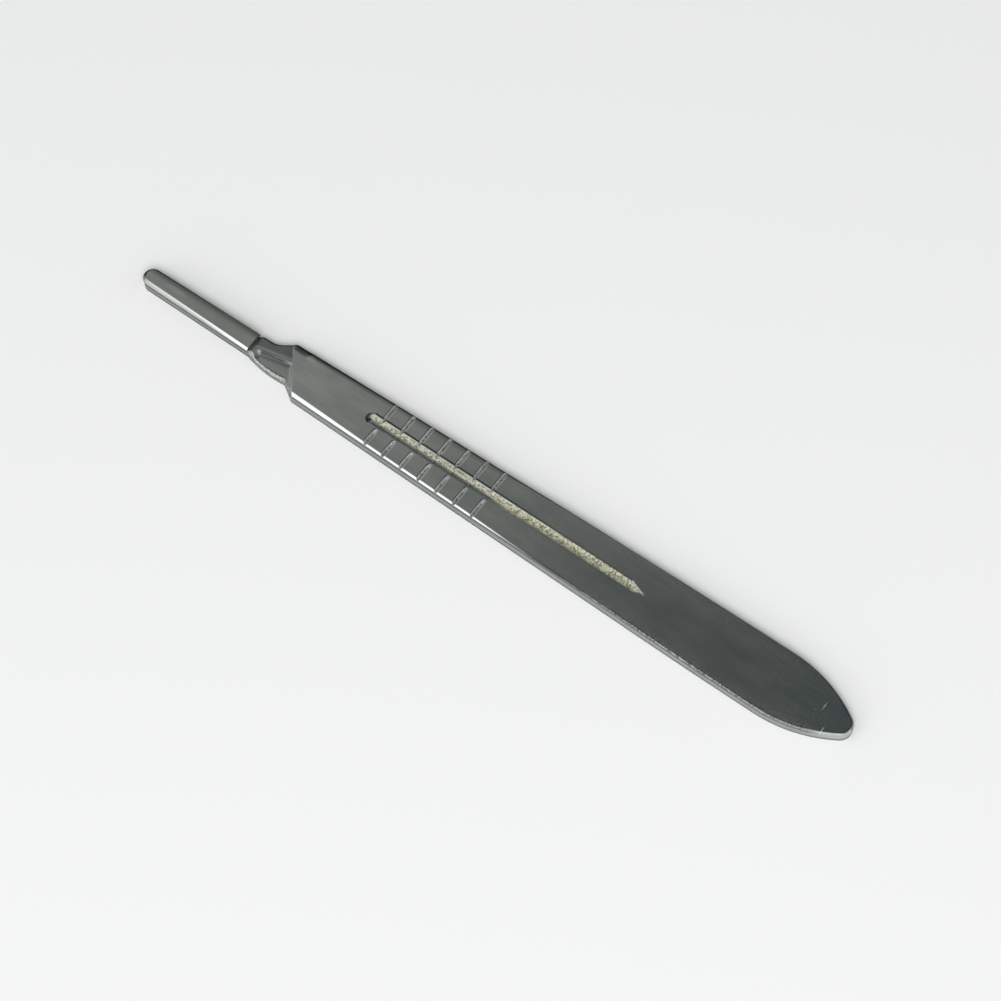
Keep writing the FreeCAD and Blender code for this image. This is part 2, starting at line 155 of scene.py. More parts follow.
def near_reach(x):
    share = np.clip((x - BOSS_END) / (NEAR_HEEL - BOSS_END), 0, 1)
    chord = BAR_ROOT_REACH + share * (NEAR_HEEL_REACH - BAR_ROOT_REACH)
    bulge = chord + 4 * NEAR_BULGE * share * (1 - share)
    flank_slope = (side_line(NEAR_SHOULDER) - NEAR_HEEL_REACH) / (NEAR_SHOULDER - NEAR_HEEL)
    shoulder = soft_min(NEAR_HEEL_REACH + flank_slope * (x - NEAR_HEEL), tail_reach(x), NEAR_SHOULDER_SOFT)
    return np.select([x < BOSS_END, x < NEAR_HEEL], [tongue_reach(x), bulge], shoulder)


# The heel: the slanted wall that the blade stops against, with the neck lower in front of it.
# The relief beside the blade's seat is lower still, and the neck's near edge is ground away.
HEEL_MIDDLE = 30.3
HEEL_SLANT = math.radians(35.5)
RELIEF_DEPTH = 0.35
RELIEF_START = 23.2
RELIEF_REACH = 1.25
RELIEF_SLANT = math.radians(12.0)
RELIEF_WALL_SLOPE = 0.4
RELIEF_HEEL_SOFT = 0.05
RELIEF_FLOOR_SOFT = 0.2
RELIEF_RIM_SOFT = 0.04
NECK_BEVELS = ((BOSS_END, 0.22), (NEAR_HEEL, 0.46))
NECK_BEVEL_SOFT = 0.08
NECK_BEVEL_SETBACK = 0.2
NECK_BEVEL_RISE = 4
HEEL_WALL = ((-0.012, 0.0), (-0.010, 0.04), (0.010, 0.96), (0.012, 1.0))


def past_heel(x, y):
    return (x - HEEL_MIDDLE + math.tan(HEEL_SLANT) * y) * math.cos(HEEL_SLANT)


def relief_ridge(x):
    """The relief's far wall slants up to this ridge, which runs to the heel."""
    return RELIEF_REACH - math.tan(RELIEF_SLANT) * (HEEL_MIDDLE - x)


def neck_top(x, y):
    inside = np.minimum((relief_ridge(x) - y) * math.cos(RELIEF_SLANT), x - RELIEF_START)
    inside = soft_min(RELIEF_WALL_SLOPE * inside, -past_heel(x, y), RELIEF_HEEL_SOFT)
    depth = -soft_min(-soft_min(inside, RELIEF_DEPTH, RELIEF_FLOOR_SOFT), 0.0, RELIEF_RIM_SOFT)
    ground = SEAT - RELIEF_DEPTH + (near_reach(x) - stepped(x, NECK_BEVELS)) + y
    ground = ground + NECK_BEVEL_RISE * np.clip(BOSS_END + NECK_BEVEL_SETBACK - x, 0, None)
    return soft_min(SEAT - np.clip(depth, 0, None), ground, NECK_BEVEL_SOFT)


# Bevels ground along the front's long edges: wide at the shoulder, even along the cross lines
# and run out before the tail. A short flank takes down the far shoulder's corner.
BEVEL_STEPS = ((22.4, 0.70), (50.0, 0.34), (68.0, 0.31), (82.0, 0.04), (138.0, 0.0))
BEVEL_SOFT = 0.09
CORNER_DROP = 0.72
CORNER_SLOPE = 0.6
CORNER_RUN = 3


def bevel_leg(x):
    return stepped(x, BEVEL_STEPS)


def body_top(x, y):
    level = front_level(x)
    crease = side_line(x) - bevel_leg(x)
    top = soft_min(level, level - (y - crease), BEVEL_SOFT)
    corner = level - CORNER_DROP + CORNER_SLOPE * (far_reach(x) - y)
    top = np.where(x < FAR_SHOULDER + CORNER_RUN, soft_min(top, corner, BEVEL_SOFT), top)
    return soft_min(top, level + (y + crease), BEVEL_SOFT)


# The stamped grip: a long groove down each face, and seven cross lines. The lines pushed the
# front groove's far edge into scallops, one arch from each line to the next.
GROOVE_START = 45.4
GROOVE_END = 99.2
GROOVE_POINT = 2.6
GROOVE_REACH = 0.975
FAR_GROOVE_REACH = 1.05
NEAR_GROOVE_STEPS = ((70.0, 0.84), (78.0, 0.66))
GROOVE_DEPTH = 0.5
NEAR_WALL = 0.42
FAR_WALLS = ((64.0, 1.05), (82.0, 0.5))
LINE_COUNT = 7
FIRST_LINE = 48.1
LINE_PITCH = 3.55
SCALLOP = 0.2
ARCH_RISE = 0.35
ARCH_FALL = 0.65
ARCH_PEAK = 0.523
ARCH_MEAN = 0.6
LAST_ARCH_SHARE = 0.35
WALL_FOOT_SOFT = 0.35
WALL_RIM_SOFT = 0.2

line_places = [FIRST_LINE + LINE_PITCH * number for number in range(LINE_COUNT)]


def ramp(share):
    """From nothing to full along a slanted wall, soft at both ends."""
    return np.clip(-soft_min(-soft_min(share, 1.0, WALL_FOOT_SOFT), 0.0, WALL_RIM_SOFT), 0, 1)


def groove_cut(x, y, scallop):
    phase = (x - FIRST_LINE) / LINE_PITCH
    share = np.where(phase > LINE_COUNT - 1, np.clip(phase - LINE_COUNT + 1, 0, LAST_ARCH_SHARE),
                     phase - np.floor(phase))
    arch = share ** ARCH_RISE * (1 - share) ** ARCH_FALL / ARCH_PEAK
    far_reach_here = FAR_GROOVE_REACH + scallop * (arch - ARCH_MEAN)
    near_reach_here = stepped(x, NEAR_GROOVE_STEPS)
    taper = GROOVE_REACH * (GROOVE_END - x) / GROOVE_POINT
    front = GROOVE_START + GROOVE_REACH
    end_round = GROOVE_REACH - np.hypot(np.minimum(x - front, 0), y)
    from_near = np.where(x < front, end_round, np.minimum(near_reach_here, taper) + y)
    from_far = np.where(x < front, end_round, np.minimum(far_reach_here, taper) - y)
    return GROOVE_DEPTH * np.minimum(ramp(from_near / NEAR_WALL), ramp(from_far / stepped(x, FAR_WALLS)))


def front_height(x, y):
    wall = stepped(past_heel(x, y), HEEL_WALL)
    heel_round = np.clip(EDGE_ROUND - np.clip(past_heel(x, y), 0, None), 0, None)
    heel_drop = EDGE_ROUND - np.sqrt(EDGE_ROUND ** 2 - heel_round ** 2)
    body = body_top(x, y) - heel_drop - groove_cut(x, y, SCALLOP)
    return neck_top(x, y) * (1 - wall) + body * wall


# Stations along the bar, close together where its shape changes. Between the boss and the grip
# they lean over, so that they lie along the slanted heel.
def spread(start, end, step):
    count = max(int(round((end - start) / step)), 1)
    return [start + (end - start) * number / count for number in range(count)]


HEEL_STATIONS = (-0.4, -0.25, -0.15, -0.08, -0.04, -0.012, -0.01,
                 0.01, 0.012, 0.04, 0.07, 0.1, 0.15, 0.25, 0.4)
LINE_STATIONS = (-0.5, -0.38, -0.3, -0.22, -0.14, -0.06, 0.0, 0.06, 0.14, 0.22, 0.3, 0.38, 0.5)
FINE_STEP = 0.12
NOSE_STATIONS = 14
NECK_MIDDLE = 24.0
SHOULDER_BEHIND = 32.2
POINT_START = GROOVE_END - GROOVE_POINT - 0.3
POINT_END = GROOVE_END + 0.3

stations = [BAR_TIP_CENTRE - BAR_TIP_RADIUS * math.cos(math.radians(turn)) for turn in range(0, 90, 9)]
stations += spread(BAR_TIP_CENTRE, BOSS_END - 0.1, 1.3)
stations += spread(BOSS_END - 0.1, NECK_MIDDLE, FINE_STEP)
stations += spread(NECK_MIDDLE, HEEL_MIDDLE - 0.5, 0.2)
stations += [HEEL_MIDDLE + away / math.cos(HEEL_SLANT) for away in HEEL_STATIONS]
stations += spread(HEEL_MIDDLE + 0.6, SHOULDER_BEHIND, FINE_STEP)
stations += spread(SHOULDER_BEHIND, GROOVE_START - 0.2, 0.6)
stations += spread(GROOVE_START - 0.2, line_places[0] - 0.6, FINE_STEP)
for place in line_places:
    stations += [place + away for away in LINE_STATIONS]
    if place != line_places[-1]:
        stations += spread(place + 0.6, place + LINE_PITCH - 0.5, 0.22)
stations += spread(line_places[-1] + 0.6, POINT_START, 0.5)
stations += spread(POINT_START, POINT_END, 0.13)
stations += spread(POINT_END, OGIVE_START, 0.8)
join_turn = math.degrees(math.acos((nose_join - nose_centre) / NOSE_RADIUS))
stations += spread(OGIVE_START, nose_join, 0.35)
stations += [nose_centre + NOSE_RADIUS * math.cos(math.radians(join_turn * (1 - number / NOSE_STATIONS)))
             for number in range(NOSE_STATIONS + 1)]
stations = np.array(stations)


def smooth_step(share):
    share = np.clip(share, 0, 1)
    return share * share * (3 - 2 * share)


LEAN_RISE = 6.6
LEAN_END = 42.0
LEAN_FALL = 10.6
TABLE_POINTS = 27601

lean_share = smooth_step((stations - BOSS_END) / LEAN_RISE) * smooth_step((LEAN_END - stations) / LEAN_FALL)
lean = math.tan(HEEL_SLANT) * lean_share
table = np.linspace(0, LENGTH, TABLE_POINTS)
far_x = np.array([np.interp(at, table + slant * far_reach(table), table) if slant else at
                  for at, slant in zip(stations, lean)])
near_x = np.array([np.interp(at, table - slant * near_reach(table), table) if slant else at
                   for at, slant in zip(stations, lean)])


SMALL = 1e-5
ROUND_TIP_RUN = 0.5
ROUND_TAIL_START = 110.0
GROOVE_ROOM = 0.72
FILL_ROWS = 4


def inward(x, reach):
    """Unit vectors into the metal, square to the outline, for the side at +y."""
    slope = (reach(np.minimum(x + SMALL, LENGTH)) - reach(np.maximum(x - SMALL, 0))) / (2 * SMALL)
    size = np.hypot(slope, 1.0)
    along, across = slope / size, -1.0 / size
    along = np.where(x >= LENGTH - SMALL, -1.0, np.where(x <= stations[0] + SMALL, 1.0, along))
    across = np.where((x >= LENGTH - SMALL) | (x <= stations[0] + SMALL), 0.0, across)
    return along, across


def band(x, reach, sign, distances):
    """Rows that follow one edge of the outline at the given distances from it."""
    along, across = inward(x, reach)
    round_end = (stations < BAR_TIP_CENTRE + ROUND_TIP_RUN) | (stations > ROUND_TAIL_START)
    along = np.where(round_end, along, sign * lean)
    across = np.where(round_end, across, -1.0)
    return x + distances * along, sign * (reach(x) + distances * across)


def rows_across(near_edge, far_edge, extra):
    """All rows of one face, from the near edge to the far edge."""
    near = [band(near_x, near_reach, -1, np.broadcast_to(away, stations.shape)) for away in near_edge]
    far = [band(far_x, far_reach, 1, np.broadcast_to(away, stations.shape)) for away in far_edge]
    near_in, far_in = near[-1], far[-1]
    room = np.minimum(far_in[1], -near_in[1])
    scale = np.minimum(1.0, GROOVE_ROOM * room / extra[-1])
    middle = [(None, -scale * at) for at in reversed(extra)] + [(None, scale * at) for at in extra[1:]]
    rows = list(near)
    first, last = middle[0][1], middle[-1][1]
    for number in range(1, FILL_ROWS):
        rows.append((None, near_in[1] + (first - near_in[1]) * number / FILL_ROWS))
    rows += middle
    for number in range(1, FILL_ROWS):
        rows.append((None, last + (far_in[1] - last) * number / FILL_ROWS))
    rows += list(reversed(far))
    span = far_in[1] - near_in[1]
    span = np.where(span < 1e-9, 1.0, span)
    full = []
    for x, y in rows:
        if x is None:
            x = near_in[0] + (far_in[0] - near_in[0]) * (y - near_in[1]) / span
        full.append((x, y))
    return full


ROUND_TURNS = [math.radians(turn) for turn in (0, 18, 36, 54, 72, 90)]
ROUND_ROWS = [edge_round(stations) * (1 - math.cos(turn)) for turn in ROUND_TURNS]
GROOVE_ROWS = (0.0, 0.25, 0.42, 0.48, 0.53, 0.6, 0.7, 0.78, 0.84, 0.9, 0.96, 1.02, 1.09, 1.18, 1.3)
LEAST_LEG = 0.3
LEG_CLEARANCE = 0.12
TONGUE_LEG_END = BOSS_END - 2

heel_share = np.clip(past_heel(stations, 0) + 0.5, 0, 1)
body_leg = np.maximum(np.maximum(bevel_leg(stations), LEAST_LEG), edge_round(stations) + LEG_CLEARANCE)
near_leg = stepped(stations, NECK_BEVELS) * (1 - heel_share) + body_leg * heel_share
far_leg = LEAST_LEG * (1 - heel_share) + body_leg * heel_share
near_leg = np.where(stations < TONGUE_LEG_END, LEAST_LEG, near_leg)
CREASE_ROWS = (-0.09, -0.045, 0.0, 0.045, 0.09, 0.16)

front_rows = rows_across(ROUND_ROWS + [near_leg + away for away in CREASE_ROWS],
                         ROUND_ROWS + [far_leg + away for away in CREASE_ROWS], GROOVE_ROWS)
# The chamfer round the back: how far in from the outline, and how high above the back.
BACK_EDGE = ((0.0, BACK_CHAMFER), (0.02, 0.215), (0.06, 0.18), (0.2, 0.04), (BACK_CHAMFER, 0.01),
             (0.3, 0.0), (0.4, 0.0))
back_edge = [away for away, rise in BACK_EDGE]
back_rows = rows_across(back_edge, back_edge, GROOVE_ROWS)


# Along with its place each point carries how deep it lies under its face, which way that face
# looks, how deep the groove is there, how dull the steel is or how much shade is painted on it,
# from 0 on the bright ground faces to 1 on the darkest edges, and how worn it is.
SIDE_ROWS = ((0.04, 0.8), (0.12, 0.65), (0.4, 0.3), (0.75, 0.4), (0.96, 0.85))
NEAR_EDGE_DULL = 0.7
TAIL_NEAR_EDGE_DARKENING = 0.8
FAR_EDGE_SOFT = 0.12
NECK_FLOOR_DULL = 0.14
NECK_FAR_DULL = 0.38
NECK_CREASE_PAINTED_SHADE = 0.8
NECK_CREASE_AWAY = 0.36
NECK_CREASE_WIDTH = 0.2
NECK_CREASE_START = 24.2
FLANK_WIDTH = 0.6
FLANK_DULL = 0.53
FLANK_REAR_DULL = 0.15
FLANK_WORN = 0.9
TAIL_PAINTED_SHADE = 0.24
LIP_INNER = 0.88
LIP_OUTER = 1.24
LIP_SOFT = 0.1
LIP_START = 46.4
LIP_END = 96.4
RIM_WIDTH = 0.7
BED_SHADE = 0.92
BACK_EDGE_DULL = 3
SIDE_EXTRAS = ((BOSS_END, 0.1), (BOSS_END + 2.0, 0.04), (70.0, 0.04), (90.0, 0.0))
NOSE_SIDE_BRIGHT = 0.8
SIDE_WORN = 0.12
NOSE_FROM = 131.5
NOSE_RUN = 4.0
EDGE_FADE_FROM = 70.0
EDGE_FADE_RUN = 16.0
TAIL_FROM = 84.0
TAIL_RUN = 12.0

body = past_heel(stations, 0) > 0.005
nose_share = smooth_step((stations - NOSE_FROM) / NOSE_RUN)
edge_fade = smooth_step((stations - EDGE_FADE_FROM) / EDGE_FADE_RUN) * (1 - nose_share)
tail_share = smooth_step((stations - TAIL_FROM) / TAIL_RUN) * (1 - nose_share)
loop = []
for number, (x, y) in enumerate(front_rows):
    near_side_of_face = number < len(front_rows) / 2
    from_edge = min(number, len(front_rows) - 1 - number)
    turn = ROUND_TURNS[min(from_edge, len(ROUND_TURNS) - 1)]
    fall = edge_round(stations) * (1 - math.sin(turn))
    z = front_height(x, y) - fall
    if near_side_of_face:
        dull_and_shade = NEAR_EDGE_DULL * (1 - math.sin(turn)) ** 0.7
        if from_edge < len(ROUND_TURNS) + 1:
            # The near edge darkens towards the tail, and is left undarkened at the nose.
            dull_and_shade = (dull_and_shade + (TAIL_NEAR_EDGE_DARKENING - dull_and_shade) * edge_fade) * (1 - nose_share)
    else:
        # Painted shade: the far edge and its bevel are darkened as though they lay in shadow.
        far_edge = np.where(body, side_line(x) - bevel_leg(x), far_reach(x) - 0.15)
        soft = FAR_EDGE_SOFT + 0.6 * bevel_leg(x)
        dull_and_shade = np.maximum(smooth_step((y - far_edge + soft) / (soft + 0.05)), (1 - math.sin(turn)) ** 0.5)
    # The neck is grey, darker past the relief's ridge, with painted shade in the crease below the
    # ridge, and its near flank is rough.
    ridge = relief_ridge(x)
    on_neck = ~body & (x > BOSS_END)
    on_flank = on_neck & (y < -near_reach(x) + FLANK_WIDTH)
    floor_dull = NECK_FLOOR_DULL + NECK_FAR_DULL * smooth_step((y - ridge - 0.3) / 0.5)
    crease = np.exp(-((y - ridge + NECK_CREASE_AWAY) / NECK_CREASE_WIDTH) ** 2)
    crease_painted_shade = NECK_CREASE_PAINTED_SHADE * crease * smooth_step((29.6 - x) / 2.0)
    dull_and_shade = np.where(on_neck, np.maximum(dull_and_shade, floor_dull + crease_painted_shade * (x > NECK_CREASE_START)), dull_and_shade)
    dull_and_shade = np.where(on_flank, FLANK_DULL + FLANK_REAR_DULL * smooth_step((x - 25.6) / 1.8), dull_and_shade)
    # Painted shade: a dark line along the groove's far lip, and the face painted darker towards the tail.
    lip_painted_shade = smooth_step((y - LIP_INNER) / LIP_SOFT) * smooth_step((LIP_OUTER - y) / LIP_SOFT)
    lip_painted_shade = lip_painted_shade * ((x > LIP_START) & (x < LIP_END))
    dull_and_shade = np.maximum(dull_and_shade, np.clip(lip_painted_shade, 0, 1))
    tail_painted_shade = TAIL_PAINTED_SHADE * smooth_step((x - 70.0) / 30.0) * smooth_step((128.0 - x) / 14.0)
    tail_painted_shade = tail_painted_shade * smooth_step((4.6 - y) / 4.0)
    dull_and_shade = np.maximum(dull_and_shade, np.where(body, tail_painted_shade, 0.0))
    worn = tail_share * np.exp(-np.clip(y + tail_reach(x), 0, None) / RIM_WIDTH) + FLANK_WORN * on_flank
    # The groove's bed is pale, but its near half is in the shade along the lines, and so is its
    # near edge behind them.
    pale = groove_cut(x, y, SCALLOP)
    shaded = np.maximum(smooth_step((84.0 - x) / 18.0) * smooth_step((0.22 - y) / 0.3),
                        smooth_step((x - 68.0) / 4.0) * smooth_step((-0.4 - y) / 0.14))
    loop.append((x, y, z, front_level(x) - z, 1.0, pale * (1 - BED_SHADE * shaded), dull_and_shade, worn))
far_top = loop[-1]
near_top = loop[0]
back_loop = []
for number, (x, y) in enumerate(reversed(back_rows)):
    from_edge = min(number, len(back_rows) - 1 - number)
    rise = BACK_EDGE[from_edge][1] if from_edge < len(BACK_EDGE) else 0.0
    z = groove_cut(x, y, 0.0) + rise
    back_loop.append((x, y, z, z, -1.0, groove_cut(x, y, 0.0), BACK_EDGE_DULL * rise, 0.0))
side_extra = stepped(stations, SIDE_EXTRAS)
far_side = []
for share, dull_and_shade in SIDE_ROWS:
    z = far_top[2] + (back_loop[0][2] - far_top[2]) * share
    far_side.append((far_top[0], far_top[1], z, 1.0, 0.0, 0.0, dull_and_shade, 0.0))
near_side = []
for share, dull_and_shade in reversed(SIDE_ROWS):
    z = near_top[2] + (back_loop[-1][2] - near_top[2]) * share
    side_dull = side_extra + dull_and_shade * (1 - NOSE_SIDE_BRIGHT * nose_share * (share < 0.5))
    near_side.append((near_top[0], near_top[1], z, 1.0, 0.0, 0.0, side_dull, SIDE_WORN * tail_share))
loop += far_side + back_loop + near_side

values = np.array([[np.broadcast_to(value, stations.shape) for value in row] for row in loop])
values = values.transpose(2, 0, 1)
points = values[..., :3].copy()
points[..., 0] += start_x
columns, around = points.shape[:2]
faces = []
for column in range(columns - 1):
    for row in range(around):
        following = (row + 1) % around
        faces.append((column * around + row, (column + 1) * around + row,
                      (column + 1) * around + following, column * around + following))
bar_mesh = bpy.data.meshes.new("bar")
bar_mesh.from_pydata((points.reshape(-1, 3) * MM).tolist(), [], faces)
bar_mesh.update()
for column, name in enumerate(("sunk", "outward", "bed", "dull_and_shade", "worn"), start=3):
    carried = bar_mesh.attributes.new(name, "FLOAT", "POINT")
    carried.data.foreach_set("value", np.ascontiguousarray(values[..., column]).reshape(-1))
bar = bpy.data.objects.new("bar", bar_mesh)
bpy.context.scene.collection.objects.link(bar)

MERGE_WITHIN = 0.0015
solid = bmesh.new()
solid.from_mesh(bar_mesh)
bmesh.ops.remove_doubles(solid, verts=solid.verts, dist=MERGE_WITHIN * MM)
bmesh.ops.recalc_face_normals(solid, faces=solid.faces)
solid.to_mesh(bar_mesh)
solid.free()

# The boss on the tongue stands on a narrow waist, so that a blade's slotted tang can slide in
# under it. It is milled from the same bar, and is lofted here through outlines from its waist up
# to its bevelled top.
BOSS_TIP_RADIUS = 1.594
BOSS_ROOT_REACH = 1.8
# Each outline: how far inside the widest it lies at the tip and at the root, its height, and how
# far its rear end is set back.
BOSS_RINGS = ((0.5, 0.7, 1.90, 0.0), (0.5, 0.7, 2.33, 0.0), (0.47, 0.67, 2.362, 0.0),
              (0.05, 0.05, 2.374, 0.0), (0.012, 0.012, 2.385, 0.0), (0.0, 0.0, 2.42, 0.0),
              (0.0, 0.0, 2.52, 0.0), (0.012, 0.006, 2.57, 0.0), (0.05, 0.02, 2.61, 0.0),
              (0.30, 0.125, 2.825, 0.0), (0.33, 0.15, 2.839, 0.005), (0.36, 0.18, 2.847, 0.02),
              (0.40, 0.21, 2.85, 0.04), (0.46, 0.27, 2.85, 0.06), (0.8, 0.65, 2.85, 0.25),
              (1.1, 1.1, 2.85, 0.5), (1.5, 1.65, 2.85, 0.8))
NEAR_EXTRA_TIP = 0.22
NEAR_EXTRA_ROOT = 0.2
NEAR_LEVELS = ((2.37, 2.37), (2.61, 2.43), (2.85, 2.85))
UNDERCUT_LEVEL = 2.37
BEVEL_INSET = 0.1
BEVEL_LEVEL = 2.4
CROWN_INSET = 1.5
CROWN_RUN = 1.04
SIDE_STEPS = 16
TIP_STEPS = 24
END_STEPS = 8


def tongue_ring(tip_inset, root_inset, level, setback):
    """One closed outline: along the near side, round the tip, back along the far side.

    The near side's bevel reaches lower and further in than the far side's.
    """
    bevelled = tip_inset >= BEVEL_INSET and level >= BEVEL_LEVEL
    wider = min(1.0, (CROWN_INSET - tip_inset) / CROWN_RUN) if bevelled else 0.0
    radius = BOSS_TIP_RADIUS - tip_inset
    root = BOSS_ROOT_REACH - root_inset
    near_radius = radius - NEAR_EXTRA_TIP * wider
    near_root = root - NEAR_EXTRA_ROOT * wider
    near_level = stepped(level, NEAR_LEVELS) if level > UNDERCUT_LEVEL else level
    end = BOSS_END - setback
    side = [(n / SIDE_STEPS, end + (BAR_TIP_CENTRE - end) * n / SIDE_STEPS) for n in range(SIDE_STEPS)]
    ring = [(x, -near_root - (near_radius - near_root) * share, near_level) for share, x in side]
    for n in range(TIP_STEPS + 1):
        turn = math.pi * n / TIP_STEPS
        nearness = (1 + math.cos(turn)) / 2
        reach = radius + (near_radius - radius) * nearness
        height = level + (near_level - level) * nearness
        ring.append((BAR_TIP_CENTRE - reach * math.sin(turn), -reach * math.cos(turn), height))
    ring += [(x, root + (radius - root) * share, level) for share, x in reversed(side)]
    for n in range(1, END_STEPS):
        share = n / END_STEPS
        ring.append((end, root + (-near_root - root) * share, level + (near_level - level) * share))
    return [(start_x + x, y, z) for x, y, z in ring]


boss_points = [point for ring in BOSS_RINGS for point in tongue_ring(*ring)]
in_ring = len(boss_points) // len(BOSS_RINGS)
boss_faces = []
for low in range(0, len(boss_points) - in_ring, in_ring):
    for n in range(in_ring):
        following = (n + 1) % in_ring
        boss_faces.append((low + n, low + following, low + in_ring + following, low + in_ring + n))
boss_faces.append(tuple(range(in_ring)))
boss_faces.append(tuple(range(len(boss_points) - in_ring, len(boss_points))))
boss_mesh = bpy.data.meshes.new("boss")
boss_mesh.from_pydata((np.array(boss_points) * MM).tolist(), [], boss_faces)
for name in ("sunk", "outward", "bed", "dull_and_shade", "pressed", "worn"):
    boss_mesh.attributes.new(name, "FLOAT", "POINT")
solid = bmesh.new()
solid.from_mesh(boss_mesh)
bmesh.ops.recalc_face_normals(solid, faces=solid.faces)
solid.to_mesh(boss_mesh)
solid.free()
boss = bpy.data.objects.new("boss", boss_mesh)
bpy.context.scene.collection.objects.link(boss)

# The steel itself: stainless, ground lengthwise to a satin on the faces, and left as pressed in
# the groove and the lines, which are paler and rougher. The sides and the edges next to them are
# dark and mottled, and the same mottled dark is painted as shade on the far edges, the crease, the
# groove's lip, the tail and the boss.
GROUND_STEEL = (0.49, 0.515, 0.515, 1.0)
CLOUDED_STEEL = (0.585, 0.595, 0.575, 1.0)
DARK_EDGE = (0.022, 0.027, 0.03, 1.0)
GREY_EDGE = (0.062, 0.065, 0.063, 1.0)
BED_SHADOW = (0.23, 0.22, 0.14, 1.0)
BED_CREAM = (0.60, 0.59, 0.47, 1.0)
LINE_GREY = (0.42, 0.43, 0.41, 1.0)
LINE_PALE = (0.80, 0.81, 0.78, 1.0)
SCRATCH = (0.86, 0.87, 0.85, 1.0)
FULL_TINT = (1.0, 1.0, 1.0, 1.0)
HALF_TINT = (0.5, 0.5, 0.5, 1.0)
DULL_ROUGHNESS = 0.42
SCRATCH_ROUGHNESS = 0.62
LINE_ROUGHNESS = 0.5
BED_ROUGHNESS = 0.65
BED_METALLIC = 0.35
GRAIN_BUMP = 0.014
GRAIN_HEIGHT = 0.01
BED_HEIGHT = 0.06

steel = bpy.data.materials.new("ground_steel")
steel.use_nodes = True
nodes = steel.node_tree.nodes
links = steel.node_tree.links
shader = nodes["Principled BSDF"]
place = nodes.new("ShaderNodeTexCoord").outputs["Object"]


def noise(scales, detail):
    stretch = nodes.new("ShaderNodeMapping")
    stretch.inputs["Scale"].default_value = scales
    links.new(place, stretch.inputs["Vector"])
    texture = nodes.new("ShaderNodeTexNoise")
    texture.inputs["Scale"].default_value = 1.0
    texture.inputs["Detail"].default_value = detail
    texture.inputs["Roughness"].default_value = 0.5
    links.new(stretch.outputs["Vector"], texture.inputs["Vector"])
    return texture.outputs["Fac"]


def fit(value, low, high, to_low, to_high):
    """The value taken from one span to another, and held at its ends."""
    span = nodes.new("ShaderNodeMapRange")
    span.inputs["From Min"].default_value = low
    span.inputs["From Max"].default_value = high
    span.inputs["To Min"].default_value = to_low
    span.inputs["To Max"].default_value = to_high
    links.new(value, span.inputs["Value"])
    return span.outputs["Result"]


def blend(share, first, second):
    mix = nodes.new("ShaderNodeMix")
    mix.data_type = "RGBA"
    links.new(share, mix.inputs["Factor"])
    for socket, colour in ((mix.inputs[6], first), (mix.inputs[7], second)):
        if isinstance(colour, tuple):
            socket.default_value = colour
        else:
            links.new(colour, socket)
    return mix.outputs[2]


def carried_value(name):
    carrier = nodes.new("ShaderNodeAttribute")
    carrier.attribute_name = name
    return carrier.outputs["Fac"]


grain = noise((90.0, 5200.0, 5200.0), 5.0)
cloud = noise((160.0, 420.0, 420.0), 4.0)
speck = noise((2600.0, 2600.0, 2600.0), 3.0)
mottle = noise((900.0, 900.0, 2400.0), 4.0)
face_colour = blend(fit(cloud, 0.35, 0.65, 0.0, 1.0), GROUND_STEEL, CLOUDED_STEEL)
# Dull steel and painted shade share one mottled dark colour: the sides are dull steel, the darkened far
# edges, crease, lip, tail and boss are painted shade.
dull_and_shade = carried_value("dull_and_shade")
dull_and_shade_colour = blend(fit(mottle, 0.3, 0.7, 0.0, 1.0), DARK_EDGE, GREY_EDGE)
face_colour = blend(dull_and_shade, face_colour, dull_and_shade_colour)
bed = fit(carried_value("bed"), 0.09, 0.24, 0.0, 1.0)
bed_colour = blend(fit(speck, 0.40, 0.56, 0.0, 1.0), BED_SHADOW, BED_CREAM)
# Handling has left a speckled rim along the tail's near edge, two short scratches and a nick
# near the nose, and rubbed spots on the tongue, the neck and the shoulder.
worn = carried_value("worn")
rim = nodes.new("ShaderNodeMath")
rim.operation = "MULTIPLY"
links.new(worn, rim.inputs[0])
links.new(fit(speck, 0.42, 0.58, 0.0, 0.4), rim.inputs[1])
